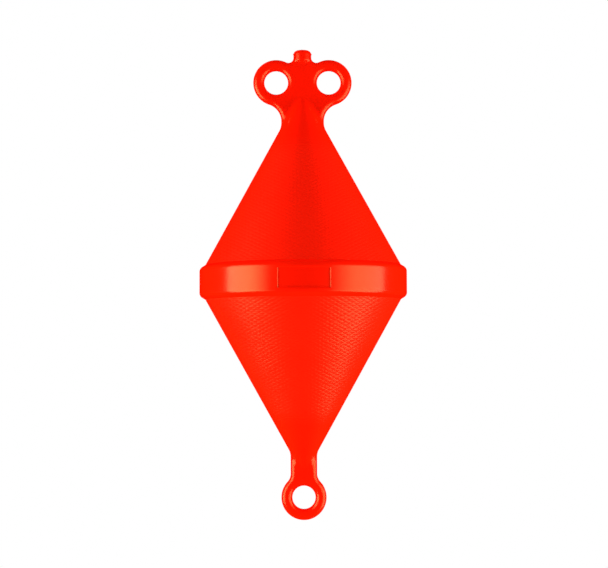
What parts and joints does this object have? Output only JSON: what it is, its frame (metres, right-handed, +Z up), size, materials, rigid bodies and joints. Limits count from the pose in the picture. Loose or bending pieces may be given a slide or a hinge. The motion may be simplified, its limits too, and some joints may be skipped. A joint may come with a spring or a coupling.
{
  "type": "biconical buoy",
  "caption": "Sealed plastic mooring buoy of two cones joined at a waist band, with lifting eyes on top and a mooring eye below.",
  "frame": {"origin": "centre of the mooring eye at the bottom, where the mooring line pulls", "axes": "+Z up along the buoy's axis to the top eyes, +X across the eye plates, +Y along the bores of the eyes; the name panel faces -Y"},
  "size_m": [0.32, 0.32, 0.7262],
  "materials": {
    "orange_polyethylene": "satin blow-moulded polyethylene, coloured through"
  },
  "bodies": {
    "root": {"buoy": "orange_polyethylene"}
  },
  "joints": []
}
